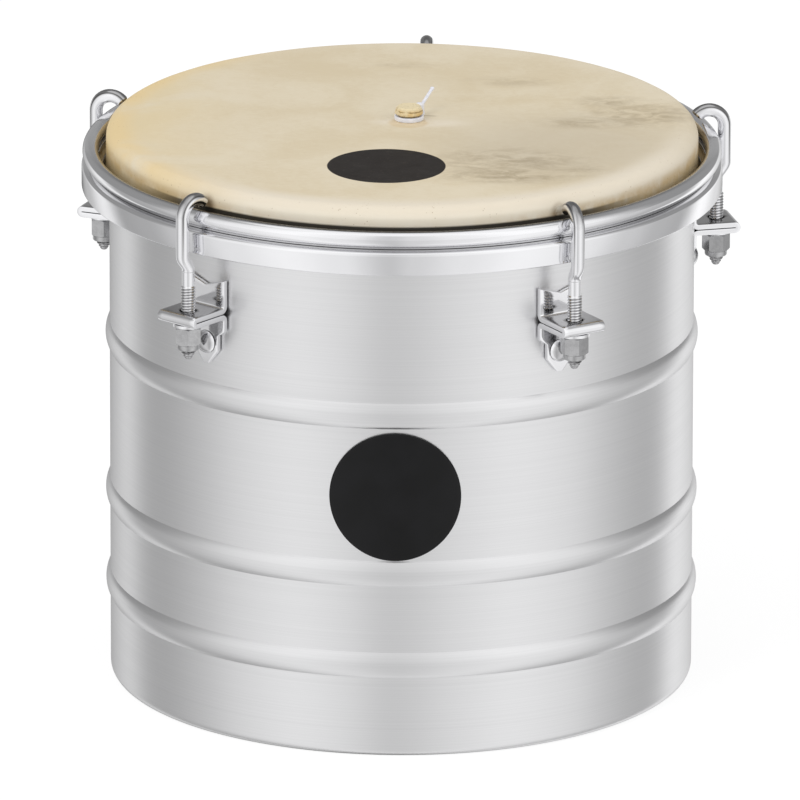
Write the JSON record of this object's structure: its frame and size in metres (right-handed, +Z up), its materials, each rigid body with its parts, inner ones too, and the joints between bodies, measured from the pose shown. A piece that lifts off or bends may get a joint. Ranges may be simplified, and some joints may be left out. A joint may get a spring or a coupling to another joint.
{
  "type": "cuica",
  "caption": "Friction drum with a beaded metal shell, a goatskin head held by a hooked counter hoop, and a bamboo stick inside that sounds the head when rubbed",
  "frame": {"origin": "centre of the bounding box in plan, on the plane of the shell's foot", "axes": "+Z up along the drum's axis, -Y towards the front with the round badge, +X to the right seen from the front"},
  "size_m": [0.2908, 0.2886, 0.2578],
  "materials": {
    "brushed_shell": "fine brushed steel, clear and light, grain runs round the shell",
    "chromed_steel": "bright chrome plate",
    "zinc_steel": "dull bright zinc plate",
    "goatskin": "natural goatskin, cream, matt",
    "bamboo": "scraped bamboo, satin",
    "nylon": "milky natural nylon",
    "badge_black": "satin black foil"
  },
  "bodies": {
    "drum": {"shell": "brushed_shell", "head_skin": "goatskin", "flesh_hoop": "zinc_steel", "badge": "badge_black", "lug_bracket_1": "chromed_steel", "lug_bracket_2": "chromed_steel", "lug_bracket_3": "chromed_steel", "lug_bracket_4": "chromed_steel", "lug_bracket_5": "chromed_steel", "tension_washer_1": "chromed_steel", "tension_washer_2": "chromed_steel", "tension_washer_3": "chromed_steel", "tension_washer_4": "chromed_steel", "tension_washer_5": "chromed_steel", "bracket_bolt_1": "chromed_steel", "bracket_bolt_2": "chromed_steel", "bracket_bolt_3": "chromed_steel", "bracket_bolt_4": "chromed_steel", "bracket_bolt_5": "chromed_steel", "inner_washer_1": "zinc_steel", "inner_washer_2": "zinc_steel", "inner_washer_3": "zinc_steel", "inner_washer_4": "zinc_steel", "inner_washer_5": "zinc_steel", "inner_nut_1": "zinc_steel", "inner_nut_2": "zinc_steel", "inner_nut_3": "zinc_steel", "inner_nut_4": "zinc_steel", "inner_nut_5": "zinc_steel"},
    "counter_hoop": {"hoop_band": "chromed_steel", "hoop_wire": "chromed_steel", "hook_rod_1": "chromed_steel", "hook_rod_2": "chromed_steel", "hook_rod_3": "chromed_steel", "hook_rod_4": "chromed_steel", "hook_rod_5": "chromed_steel"},
    "nut_1": {"tension_nut_1": "zinc_steel"},
    "nut_2": {"tension_nut_2": "zinc_steel"},
    "nut_3": {"tension_nut_3": "zinc_steel"},
    "nut_4": {"tension_nut_4": "zinc_steel"},
    "nut_5": {"tension_nut_5": "zinc_steel"},
    "skin_centre": {"skin_button": "goatskin", "cable_tie": "nylon"},
    "stick_top": {"stick_head": "bamboo"},
    "stick_rod": {"stick": "bamboo"}
  },
  "joints": [
    {"name": "hoop_slide", "type": "slide", "parent": "drum", "child": "counter_hoop", "axis": [0, 0, 1], "range_m": [0, 0.008]},
    {"name": "nut_1_turn", "type": "hinge", "parent": "drum", "child": "nut_1", "pos_m": [0.08291, -0.11936, 0.183], "axis": [0, 0, 1], "range_deg": [-2269, 0]},
    {"name": "nut_2_turn", "type": "hinge", "parent": "drum", "child": "nut_2", "pos_m": [0.13415, 0.03834, 0.183], "axis": [0, 0, 1], "range_deg": [-2269, 0]},
    {"name": "nut_3_turn", "type": "hinge", "parent": "drum", "child": "nut_3", "pos_m": [0, 0.1358, 0.183], "axis": [0, 0, 1], "range_deg": [-2269, 0]},
    {"name": "nut_4_turn", "type": "hinge", "parent": "drum", "child": "nut_4", "pos_m": [-0.13415, 0.03834, 0.183], "axis": [0, 0, 1], "range_deg": [-2269, 0]},
    {"name": "nut_5_turn", "type": "hinge", "parent": "drum", "child": "nut_5", "pos_m": [-0.08291, -0.11936, 0.183], "axis": [0, 0, 1], "range_deg": [-2269, 0]},
    {"name": "skin_slide", "type": "slide", "parent": "drum", "child": "skin_centre", "axis": [0, 0, 1], "range_m": [-0.0015, 0.0015], "stiffness_N_per_m": 1000},
    {"name": "head_tilt", "type": "hinge", "parent": "skin_centre", "child": "stick_top", "pos_m": [0.0027, -0.00125, 0.25175], "axis": [1, 0, 0], "range_deg": [-3, 3], "stiffness_Nm_per_rad": 0.5},
    {"name": "stick_tilt", "type": "hinge", "parent": "stick_top", "child": "stick_rod", "pos_m": [0.0027, -0.00125, 0.25175], "axis": [0, 1, 0], "range_deg": [-3, 3], "stiffness_Nm_per_rad": 0.5}
  ],
  "couplings": [
    {"joint": "nut_1_turn", "follows": "hoop_slide", "rad_per_m": -4947.4},
    {"joint": "nut_2_turn", "follows": "hoop_slide", "rad_per_m": -4947.4},
    {"joint": "nut_3_turn", "follows": "hoop_slide", "rad_per_m": -4947.4},
    {"joint": "nut_4_turn", "follows": "hoop_slide", "rad_per_m": -4947.4},
    {"joint": "nut_5_turn", "follows": "hoop_slide", "rad_per_m": -4947.4}
  ]
}
